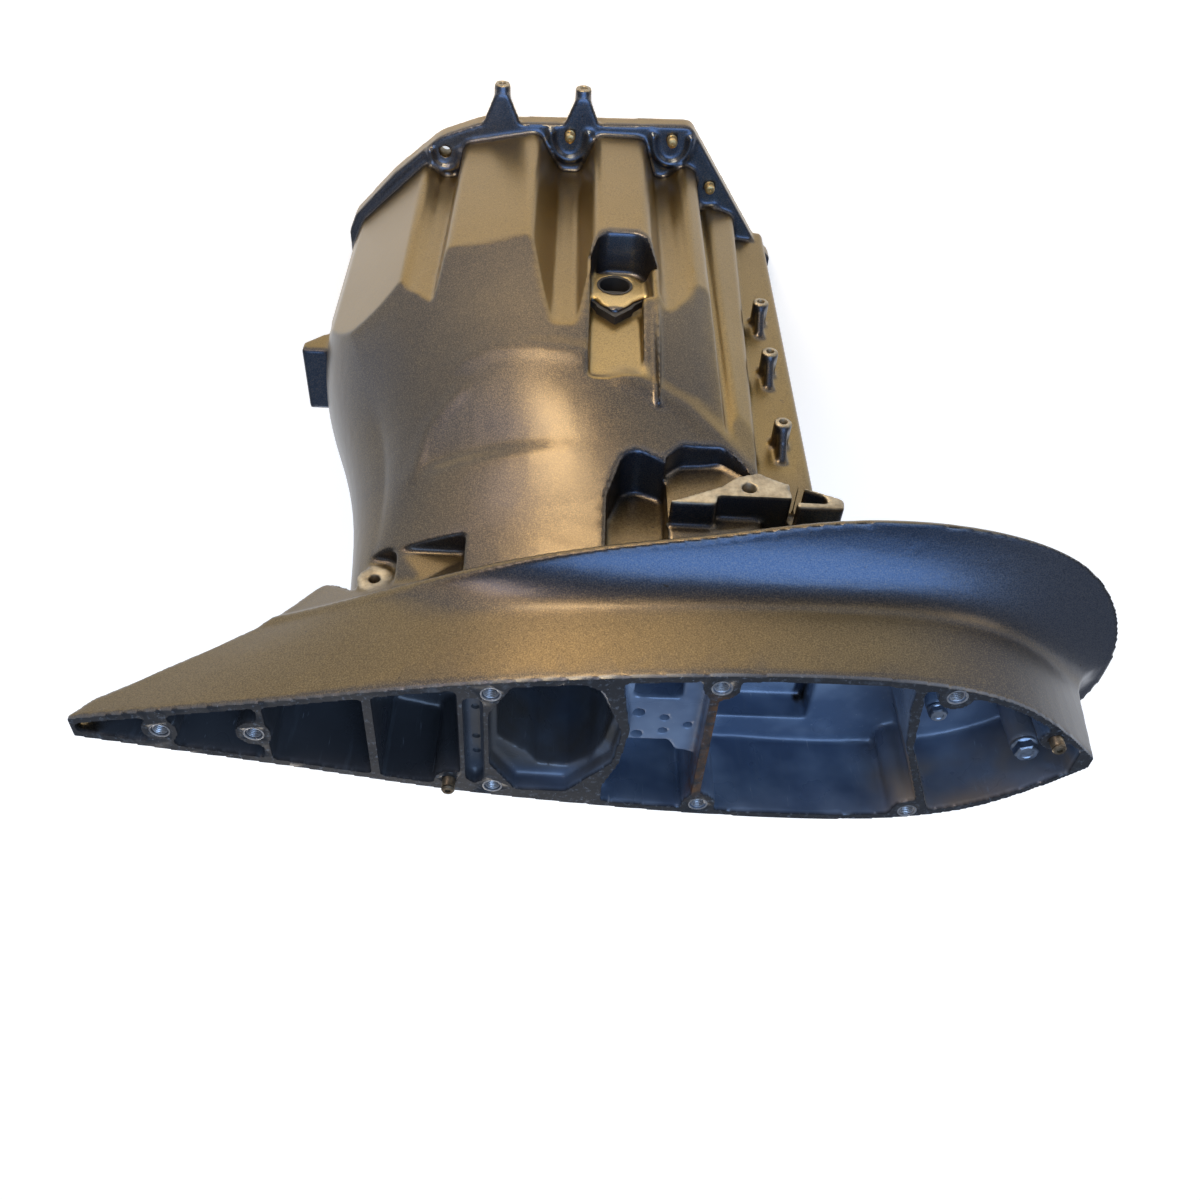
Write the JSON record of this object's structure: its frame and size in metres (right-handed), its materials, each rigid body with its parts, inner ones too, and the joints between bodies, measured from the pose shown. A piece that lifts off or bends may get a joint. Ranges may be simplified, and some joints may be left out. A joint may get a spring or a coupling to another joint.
{
  "type": "outboard upper casing",
  "caption": "Cast midsection housing of an outboard motor: ribbed bowl under a bolted flange, flared hull, splash plate and a chambered blade-shaped gearcase face.",
  "frame": {"origin": "middle of the footprint on the powerhead face, which the casing stands on", "axes": "+Z from the powerhead face to the gearcase face, +X aft to the thin tail, +Y to port"},
  "size_m": [0.621, 0.35, 0.508],
  "materials": {
    "casing_paint": "satin",
    "dowel_steel": "satin",
    "stud_plating": "satin",
    "bolt_steel": "satin",
    "grommet_rubber": "matte"
  },
  "bodies": {
    "root": {"upper_casing": "casing_paint", "locating_dowels": "dowel_steel", "flange_studs": "stud_plating", "nose_bolt_small": "bolt_steel", "nose_bolt_large": "bolt_steel", "outlet_grommet": "grommet_rubber"}
  },
  "joints": []
}
